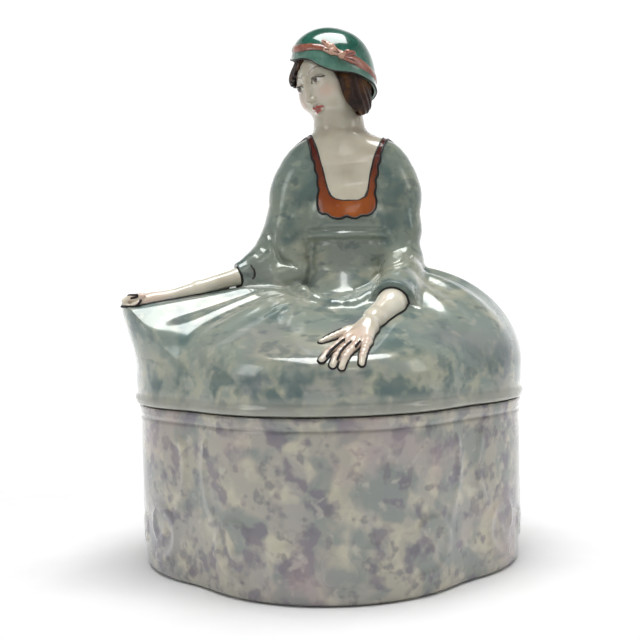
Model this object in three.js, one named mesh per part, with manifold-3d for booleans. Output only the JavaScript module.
// A porcelain powder jar with a figural lid, in millimetres, +Z up.
// The jar is a four-lobed pot. The lid is a domed skirt that carries a seated lady, who holds up a
// corner of the skirt with her right hand and rests her left hand on its front.
// The origin is the centre of the foot, on the surface that the jar stands on; the lady faces -Y.
import * as THREE from "three";
import { mergeVertices } from "three/addons/utils/BufferGeometryUtils.js";
import Module from "manifold-3d";

const wasm = await Module();
wasm.setup();

const DEG = Math.PI / 180;
const GAP = 0.3; // clearance between neighbouring pieces

// Driving dimensions.
const REACH = 55.2; // centre to the crown of a lobe, at the rim
const LOBE_SHIFT = 14.4; // centre of a lobe's arc from the jar's axis
const VALLEY_SOFTNESS = 3; // how far the glaze rounds the valley between two lobes
const JAR_HEIGHT = 46; // to the rim, where the lid sits
const WALL = 3.2;
const FLOOR = 5; // top of the jar's floor above the table
const FOOT_HEIGHT = 2.4; // the underside is set up inside the ring that the jar stands on
const DRAFT = 1.5; // the wall leans in this much from rim to foot
const FLANGE_DEPTH = 4.5; // how far the lid's locating ring reaches into the jar
const LID_BASE = JAR_HEIGHT + GAP;
const LID_WALL = 3;
const WAIST_RADIUS = 20; // where the skirt disappears under the bodice
const WAIST_TOP = 78;
const CORNER_AZIMUTH = -70; // of the skirt corner that she holds, in degrees from the front
const HEAD_CENTRE = [2.6, 2.5, 139.4];
const HEAD_TURN = [4 * DEG, -22 * DEG, -46 * DEG];

// ---------------------------------------------------------------- materials
const finish = (color, roughness, metalness = 0) =>
  new THREE.MeshStandardMaterial({ color, roughness, metalness });
const jarLustre = finish(0xa29f9b, 0.18);
const dressLustre = finish(0x8da39c, 0.15);
const skin = finish(0xe4dfd3, 0.2);
const hairBrown = finish(0x3a2418, 0.25);
const hatGreen = finish(0x2c6b58, 0.2);
const orange = finish(0xb4542a, 0.25);
const biscuit = finish(0xe9e4d8, 0.8);

// ------------------------------------------------------------ shape helpers
const smooth = (low, high, x) => THREE.MathUtils.smoothstep(x, low, high);
const bell = (x, centre, width) => Math.exp(-(((x - centre) / width) ** 2));

// Moves every vertex of a geometry by a function of its position.
function displace(geometry, move) {
  const at = geometry.attributes.position;
  const p = new THREE.Vector3();
  for (let i = 0; i < at.count; i++) {
    move(p.fromBufferAttribute(at, i));
    at.setXYZ(i, p.x, p.y, p.z);
  }
  return geometry;
}

// A profile of [radius, height] turned about Z, then moved vertex by vertex.
function turned(profile, segments, move) {
  const points = profile.map(([r, z]) => new THREE.Vector2(r, z));
  const geometry = new THREE.LatheGeometry(points, segments);
  geometry.rotateX(Math.PI / 2);
  return move ? displace(geometry, move) : geometry;
}

// A round limb: a turned spindle with domed ends, bent along a smooth curve.
function limb(points, radii, { segments = 14, steps = 10, flatten = 1 } = {}) {
  const curve = new THREE.CatmullRomCurve3(points.map((p) => new THREE.Vector3(...p)));
  const frames = curve.computeFrenetFrames(60);
  const length = curve.getLength();
  const radiusAt = (t) => {
    const k = Math.min(t * (radii.length - 1), radii.length - 1.000001);
    const i = Math.floor(k);
    return THREE.MathUtils.lerp(radii[i], radii[i + 1], k - i);
  };
  const profile = [[0, 0]];
  for (let i = 1; i < steps; i++) {
    const t = i / steps;
    const toEnd = Math.min(t, 1 - t) * length;
    const r = radiusAt(t);
    const dome = toEnd < r ? Math.sqrt(1 - (1 - toEnd / r) ** 2) : 1;
    profile.push([r * dome, t]);
  }
  profile.push([0, 1]);
  return turned(profile, segments, (p) => {
    const t = THREE.MathUtils.clamp(p.z, 0, 1);
    const i = Math.round(t * 60);
    const { x, y } = p;
    p.copy(curve.getPointAt(t));
    p.addScaledVector(frames.normals[i], x * flatten);
    p.addScaledVector(frames.binormals[i], y);
  });
}

function solid(geometry) {
  const bare = geometry.clone();
  bare.deleteAttribute("normal");
  bare.deleteAttribute("uv");
  const merged = mergeVertices(bare, 1e-3);
  const made = new wasm.Manifold(
    new wasm.Mesh({
      numProp: 3,
      vertProperties: merged.attributes.position.array,
      triVerts: new Uint32Array(merged.index.array),
    }),
  );
  if (made.volume() < 0) throw new Error("a solid is inside out");
  return made;
}

const limbSolid = ({ points, radii }, grow, options) =>
  solid(limb(points, radii.map((r) => r + grow), options));

// The largest body of a cut solid: slivers that a cut leaves behind are dropped.
function largest(cut) {
  return cut.decompose().reduce((a, b) => (a.volume() > b.volume() ? a : b));
}

function geometryOf(cut) {
  const mesh = largest(cut).getMesh();
  const geometry = new THREE.BufferGeometry();
  const n = mesh.numProp;
  const positions = new Float32Array(mesh.numVert * 3);
  for (let i = 0; i < mesh.numVert; i++) {
    positions.set(mesh.vertProperties.subarray(i * n, i * n + 3), i * 3);
  }
  geometry.setAttribute("position", new THREE.BufferAttribute(positions, 3));
  geometry.setIndex(new THREE.BufferAttribute(mesh.triVerts, 1));
  return geometry;
}

// A flat outline of [x, z] points, extruded along Y between two depths.
function plate(outline, near, far) {
  const shape = new THREE.Shape(outline.map(([x, z]) => new THREE.Vector2(x, z)));
  const geometry = new THREE.ExtrudeGeometry(shape, { depth: far - near, bevelEnabled: false });
  geometry.rotateX(Math.PI / 2);
  geometry.translate(0, far, 0);
  return geometry;
}

// ------------------------------------------------- the four-lobed outline
// Distance from the axis to the outline: four arcs, with the valleys between them rounded.
function lobeRadius(angle) {
  const arc = REACH - LOBE_SHIFT;
  const reachOf = (lobe) => {
    const off = angle - lobe;
    return LOBE_SHIFT * Math.cos(off) + Math.sqrt(arc ** 2 - (LOBE_SHIFT * Math.sin(off)) ** 2);
  };
  const [far, near] = [0, 90, 180, 270].map((lobe) => reachOf(lobe * DEG)).sort((a, b) => a - b).slice(2);
  const mix = Math.max(VALLEY_SOFTNESS - Math.abs(near - far), 0) / VALLEY_SOFTNESS;
  return Math.max(near, far) + (mix ** 2 * VALLEY_SOFTNESS) / 4;
}

// Turns a round piece into a lobed one.
function lobed(p) {
  const share = lobeRadius(Math.atan2(p.y, p.x)) / REACH;
  p.x *= share;
  p.y *= share;
}

// --------------------------------------------------------------- the jar
const JAR_SEGMENTS = 64;

function jarBody() {
  const lean = (z) => DRAFT * (1 - z / JAR_HEIGHT);
  const outer = [
    [0, FOOT_HEIGHT],
    [REACH - 9.6, FOOT_HEIGHT],
    [REACH - 8.6, 0],
    [REACH - 3.6, 0],
    [REACH - 2.1, 0.7],
    [REACH - lean(2.4), 2.4],
    [REACH - lean(24), 24],
    [REACH - lean(40) - 0.2, 40],
    [REACH, 43.2],
    [REACH + 0.1, 45],
    [REACH - 0.5, JAR_HEIGHT],
  ];
  const inner = [
    [REACH - WALL, JAR_HEIGHT],
    [REACH - WALL - 0.3, 40],
    [REACH - WALL - lean(12), 12],
    [REACH - WALL - 4, FLOOR + 1.2],
    [REACH - WALL - 8, FLOOR],
    [0, FLOOR],
  ];
  return turned([...outer, ...inner], JAR_SEGMENTS, lobed);
}

// --------------------------------------------------- the skirt, or lid shell
// The skirt's surface at an azimuth from the front (degrees, positive to +X) and a share of the way up:
// the wall runs to WALL_SHARE, the roof from there to the waist at WAIST_SHARE, and the rest runs inward.
// `grow` moves the surface outward and `base` is the height of the lower edge.
const WALL_SHARE = 0.2;
const WAIST_SHARE = 0.85;

function skirtPoint(azimuth, share, grow, base) {
  const [ahead, aside] = [Math.cos(azimuth * DEG), Math.sin(azimuth * DEG)];
  const front = Math.max(ahead, 0) ** 2;
  const back = Math.max(-ahead, 0) ** 2;
  const right = Math.max(aside, 0) ** 2;
  const left = Math.max(-aside, 0) ** 2;
  const corner = bell(azimuth, CORNER_AZIMUTH, 15);
  const shoulder = 53 * front + 55 * (right + left) + 54 * back + 18.5 * corner;
  const crest = 74 * front + 83.5 * right + 80.5 * left + 82 * back;
  const rim = lobeRadius((azimuth - 90) * DEG) + 0.8 * left + 0.4 * right + grow;
  const flare = (z) => 4.6 * corner * smooth(54, 76, z);
  if (share <= WALL_SHARE) {
    const z = THREE.MathUtils.lerp(base, shoulder, share / WALL_SHARE);
    return [rim + flare(z), z];
  }
  const wide = rim + flare(shoulder);
  if (share <= WAIST_SHARE) {
    const turn = ((share - WALL_SHARE) / (WAIST_SHARE - WALL_SHARE)) * (Math.PI / 2);
    const inward = 1 - Math.cos(turn);
    const sloped = THREE.MathUtils.lerp(Math.sin(turn), Math.sqrt(inward), front);
    const lift = THREE.MathUtils.lerp(sloped, inward, corner);
    const z = shoulder + (crest - shoulder) * lift + grow * Math.min(1, lift * 4);
    return [wide + (WAIST_RADIUS - wide) * inward, z];
  }
  const last = (share - WAIST_SHARE) / (1 - WAIST_SHARE);
  return [WAIST_RADIUS * (1 - last), THREE.MathUtils.lerp(crest, WAIST_TOP, smooth(0, 1, last)) + grow];
}

function skirtForm(grow, base, segments, levels) {
  const profile = [[0, -1], [1, 0]];
  for (let i = 1; i < levels; i++) profile.push([1, i / levels]);
  profile.push([0, 1]);
  return turned(profile, segments, (p) => {
    const share = p.z < -0.5 ? p.z : Math.max(p.z, 0);
    if (share < -0.5) {
      p.set(0, 0, base);
      return;
    }
    const radial = Math.hypot(p.x, p.y);
    const azimuth = radial < 1e-6 ? 0 : Math.atan2(p.x, -p.y) / DEG;
    const [r, z] = skirtPoint(azimuth, share, grow, base);
    p.set(r * Math.sin(azimuth * DEG), -r * Math.cos(azimuth * DEG), z);
  });
}

function lidSkirt() {
  const shell = solid(skirtForm(0, LID_BASE, 64, 15));
  const hollow = solid(skirtForm(-LID_WALL, LID_BASE - 2, 40, 10));
  const pourHole = solid(turned([[0, 60], [9, 60], [9, 100], [0, 100]], 20));
  return geometryOf(shell.subtract(hollow).subtract(pourHole));
}

// The ring under the lid that drops into the jar's mouth and keeps the lid from sliding off.
function locatingFlange() {
  const out = REACH - WALL - 0.8;
  const profile = [
    [out - 2.6, LID_BASE - FLANGE_DEPTH],
    [out - 0.5, LID_BASE - FLANGE_DEPTH],
    [out, LID_BASE - FLANGE_DEPTH + 1],
    [out, LID_BASE + 4],
    [out - 2.6, LID_BASE + 4],
    [out - 2.6, LID_BASE - FLANGE_DEPTH],
  ];
  const ring = solid(turned(profile, JAR_SEGMENTS, lobed));
  const hollow = solid(skirtForm(-LID_WALL - GAP, LID_BASE - 8, 40, 10));
  return geometryOf(ring.intersect(hollow));
}

// ---------------------------------------------------------------- the bodice
// [height, centre x, centre y, half width, half depth] from the hem to the base of the neck.
const BODICE = [
  [66, 5.6, -2, 15.2, 16.6],
  [73, 5.6, -2.4, 15.4, 17],
  [76.5, 5.7, -1.5, 13.6, 14.2],
  [83, 5.8, -0.5, 12.6, 11.6],
  [91, 5.9, -0.6, 12.8, 11.6],
  [98, 6, -0.4, 13.4, 11.6],
  [105, 6, 0.4, 15.6, 10.6],
  [111, 6, 1, 17, 9.4],
  [115.5, 6, 1.4, 16, 8.4],
  [118.8, 5.9, 1.6, 12.8, 7.4],
  [121, 5.7, 1.8, 9.6, 6.6],
];

function bodiceForm(grow, segments) {
  const [lowest, top] = [BODICE[0][0], BODICE[BODICE.length - 1][0]];
  const profile = [[0, lowest - grow]];
  for (const [z] of BODICE) profile.push([1, z === top ? z + grow : z === lowest ? z - grow : z]);
  profile.push([0, top + grow]);
  return turned(profile, segments, (p) => {
    const height = THREE.MathUtils.clamp(p.z, lowest, top);
    const row = BODICE.find(([z]) => z >= height - 1e-3);
    const [, cx, cy, wide, deep] = row;
    p.x = cx + p.x * (wide + grow);
    p.y = cy + p.y * (deep + grow);
  });
}

// The inner edge of the scalloped band round the neckline, and the band's outer edge, both as [x, z].
const NECKLINE = [
  [-2.6, 122], [-0.9, 112], [0.6, 105], [2.6, 102.2], [9.4, 101.9], [11.8, 104.4], [13.4, 112], [16.2, 122],
];
const SCALLOPS = [
  [-4.4, 122], [-2.9, 112], [-1.9, 105], [-2.3, 99.8], [0.4, 98.2], [3.6, 96.7], [5.7, 97.6],
  [8, 96.7], [10, 97.7], [13, 98.2], [14.5, 101], [14, 105], [15.4, 111], [17.8, 122],
];
const NECK = {
  points: [[5, 1, 112], [4.9, 1.6, 118], [4.4, 2.4, 125], [3.6, 2.6, 132]],
  radii: [9, 7.4, 6.6, 6.6],
};

const bodiceSolid = (grow) => solid(bodiceForm(grow, 32));
const facing = (outline) => solid(plate(outline, -30, -1));

function bodice(skirtCut) {
  const hollow = solid(bodiceForm(-2.6, 16));
  const chest = facing(NECKLINE);
  const open = bodiceSolid(0).subtract(hollow).subtract(chest);
  return geometryOf(open.subtract(neckLimb(GAP)).subtract(skirtCut));
}

const collarBand = () => facing(SCALLOPS).subtract(facing(NECKLINE));

function collar() {
  const raised = bodiceSolid(1).subtract(bodiceSolid(GAP));
  return geometryOf(raised.intersect(collarBand()).subtract(neckLimb(GAP)));
}

const neckLimb = (grow) => limbSolid(NECK, grow, { segments: 20, steps: 10 });

// The neck with the bare chest inside the neckline, narrowed to clear the band.
function neck(headCut) {
  const middle = (NECKLINE[0][0] + NECKLINE[NECKLINE.length - 1][0]) / 2;
  const inside = NECKLINE.map(([x, z]) => [middle + (x - middle) * 0.93, z + GAP]);
  const chest = bodiceSolid(0).intersect(facing(inside)).subtract(solid(bodiceForm(-3.2, 16)));
  return geometryOf(neckLimb(0).add(chest).subtract(headCut));
}

// ------------------------------------------------------------ arms and hands
const RIGHT_SLEEVE = {
  points: [[-4.4, 2.4, 114], [-9.2, 1.6, 104], [-13.8, -0.6, 92.5], [-24.5, -7, 83]],
  radii: [6.6, 7.4, 6.4, 4.8],
};
const LEFT_SLEEVE = {
  points: [[16.6, 2.4, 114], [20.6, 1.6, 104], [21.2, 0.4, 91], [21.2, -6, 81], [17.8, -22.5, 75.2]],
  radii: [6.6, 7.4, 5.8, 6, 5.8],
};
const RIGHT_FOREARM = {
  points: [
    [-21, -6, 83.4], [-30, -10, 81.4], [-37, -13, 79.2],
    [-43, -15.4, 77.6], [-49, -17.8, 76.8], [-56.4, -20, 76],
  ],
  radii: [3.2, 2.7, 2.3, 2, 2.6, 2.9],
};
const LEFT_FOREARM = {
  points: [[18, -19, 76.4], [15.6, -27.5, 72.8], [10.6, -36.4, 69], [7, -43.6, 65], [5.6, -47, 63]],
  radii: [4.6, 4.2, 3.4, 4.2, 3.4],
};
// Each finger from knuckle to tip: [x, y] at both ends, lying on the skirt's front.
const FINGERS = [
  [[5.4, -40.5], [-2.2, -45.6]],
  [[4.8, -43.5], [-1.9, -51.4]],
  [[4.8, -45.6], [1.2, -53.6]],
  [[6.2, -46.4], [3.1, -53.8]],
  [[8.4, -45], [8.6, -52.4]],
];

// The point of the skirt's roof under [x, y], raised by `lift`.
function onSkirt(x, y, lift) {
  const azimuth = Math.atan2(x, -y) / DEG;
  let [low, high] = [WALL_SHARE, WAIST_SHARE];
  while (high - low > 1e-4) {
    const middle = (low + high) / 2;
    if (skirtPoint(azimuth, middle, 0, LID_BASE)[0] > Math.hypot(x, y)) low = middle;
    else high = middle;
  }
  const [r, z] = skirtPoint(azimuth, low, lift, LID_BASE);
  return [r * Math.sin(azimuth * DEG), -r * Math.cos(azimuth * DEG), z];
}

const rightForearm = (cut) =>
  geometryOf(limbSolid(RIGHT_FOREARM, 0, { segments: 12, steps: 14 }).subtract(cut));

function leftForearm(cut) {
  let arm = limbSolid(LEFT_FOREARM, 0, { segments: 14, steps: 12 });
  for (const [knuckle, tip] of FINGERS) {
    const middle = [(knuckle[0] + tip[0]) / 2, (knuckle[1] + tip[1]) / 2];
    const path = [knuckle, middle, tip].map(([x, y]) => onSkirt(x, y, 0.9));
    arm = arm.add(solid(limb(path, [1.5, 1.4, 1.2], { segments: 8, steps: 6 })));
  }
  return geometryOf(arm.subtract(cut));
}

// ---------------------------------------------------------- head, hair and hat
// The head's own frame has its origin at the middle of the skull, +Z to the crown and the face at -Y.
function headForm(grow) {
  const rows = 12;
  const profile = [];
  for (let i = 0; i <= rows; i++) {
    const turn = -Math.PI / 2 + (i / rows) * Math.PI;
    profile.push([Math.cos(turn), Math.sin(turn)]);
  }
  profile[0][0] = 0;
  profile[rows][0] = 0;
  return turned(profile, 22, (p) => {
    const low = Math.max(-p.z, 0);
    const width = 10.6 - 3.4 * low ** 2;
    const depth = (p.y < 0 ? 11.2 : 11.8) - (p.y < 0 ? 1 : 4) * low ** 2;
    const chin = p.y < 0 ? 2.2 * low ** 2 * -p.y : 0;
    p.set(p.x * (width + grow), p.y * (depth + grow), p.z * (13.6 + grow) - chin);
  });
}

const CROWN = { centre: [0, 1.2, 2.6], radii: [12.4, 13.4, 12] };

function ellipsoid({ centre, radii }, grow, [across, up] = [26, 14]) {
  const ball = new THREE.SphereGeometry(1, across, up);
  ball.rotateX(Math.PI / 2);
  ball.scale(...radii.map((r) => r + grow));
  ball.translate(...centre);
  return solid(ball);
}

// A wedge of space above a tilted plane through a point in the head's frame.
function above(height, tilt) {
  const block = new THREE.BoxGeometry(60, 60, 40);
  block.translate(0, 0, 20);
  block.rotateX(tilt);
  block.translate(0, 0, height);
  return solid(block);
}

const BRIM_TILT = -24 * DEG;

function hat() {
  const brim = above(0.6, BRIM_TILT);
  return geometryOf(ellipsoid(CROWN, 0).intersect(brim).subtract(solid(headForm(GAP))));
}

function hatRibbon(bowCut) {
  const band = ellipsoid(CROWN, 0.9).subtract(ellipsoid(CROWN, GAP));
  return geometryOf(band.intersect(above(3.4, BRIM_TILT)).subtract(above(6, BRIM_TILT)).subtract(bowCut));
}

// The bow's outline on the hat's left front, from its knot at the middle out to both loops.
const BOW = [
  [-5, 1.6], [-1, 0.9], [1, 0.9], [5, -2.4], [5.6, 0], [4.6, 2.8], [1, 2.4], [-1, 2.6], [-3, 6.4], [-6, 5.6],
];

function bowPlate(scale) {
  const flat = plate(BOW.map(([x, z]) => [x * scale, z * scale]), -26, 0);
  flat.rotateZ(32 * DEG);
  flat.translate(0, 0, 4.6);
  return solid(flat);
}

function ribbonBow() {
  const skinBand = ellipsoid(CROWN, 1.5).subtract(ellipsoid(CROWN, GAP));
  return geometryOf(skinBand.intersect(bowPlate(1)));
}

// The bobbed hair: a skin over the head below the brim, open at the face.
function hair() {
  const skinBand = solid(headForm(1.7)).subtract(solid(headForm(GAP)));
  const face = new THREE.BoxGeometry(17, 30, 60);
  face.translate(0, -15, 0);
  const below = new THREE.BoxGeometry(60, 60, 20);
  below.translate(0, 0, -16.4);
  return geometryOf(
    skinBand.subtract(above(0.2, BRIM_TILT)).subtract(solid(face)).subtract(solid(below)),
  );
}

// -------------------------------------------------------------- assembly
function named(name, geometry, material) {
  const mesh = new THREE.Mesh(geometry, material);
  mesh.name = name;
  return mesh;
}

const headGroup = new THREE.Group();
headGroup.position.set(...HEAD_CENTRE);
headGroup.rotation.set(...HEAD_TURN);
headGroup.updateMatrix();

// A solid in the head's frame, carried into the part's frame to cut the neck.
const carried = (geometry) => solid(geometry.applyMatrix4(headGroup.matrix));

const skirtCut = solid(skirtForm(GAP, LID_BASE - 6, 64, 15));
const bandCut = bodiceSolid(1 + GAP).intersect(collarBand());
const torsoCut = solid(bodiceForm(GAP, 32)).add(bandCut).add(neckLimb(GAP)).add(skirtCut);
const headCut = carried(headForm(1.7 + GAP));
const sleeve = (form) => geometryOf(limbSolid(form, 0, { steps: 12 }).subtract(torsoCut));
const outsideSleeve = (form) => torsoCut.add(limbSolid(form, GAP, { steps: 12 }));

headGroup.add(named("head", headForm(0), skin));
headGroup.add(named("hair", hair(), hairBrown));
headGroup.add(named("cloche_hat", hat(), hatGreen));
headGroup.add(named("hat_ribbon", hatRibbon(bowPlate(1.12)), orange));
headGroup.add(named("ribbon_bow", ribbonBow(), orange));

const jar = new THREE.Group();
jar.add(named("jar_body", jarBody(), jarLustre));

const lid = new THREE.Group();
lid.add(named("lid_skirt", lidSkirt(), dressLustre));
lid.add(named("locating_flange", locatingFlange(), biscuit));
lid.add(named("bodice", bodice(skirtCut), dressLustre));
lid.add(named("collar", collar(), orange));
lid.add(named("right_sleeve", sleeve(RIGHT_SLEEVE), dressLustre));
lid.add(named("left_sleeve", sleeve(LEFT_SLEEVE), dressLustre));
lid.add(named("right_forearm", rightForearm(outsideSleeve(RIGHT_SLEEVE)), skin));
lid.add(named("left_forearm", leftForearm(outsideSleeve(LEFT_SLEEVE)), skin));
lid.add(named("neck", neck(headCut), skin));
lid.add(headGroup);

const part = new THREE.Group();
part.add(jar);
part.add(lid);
export default part;
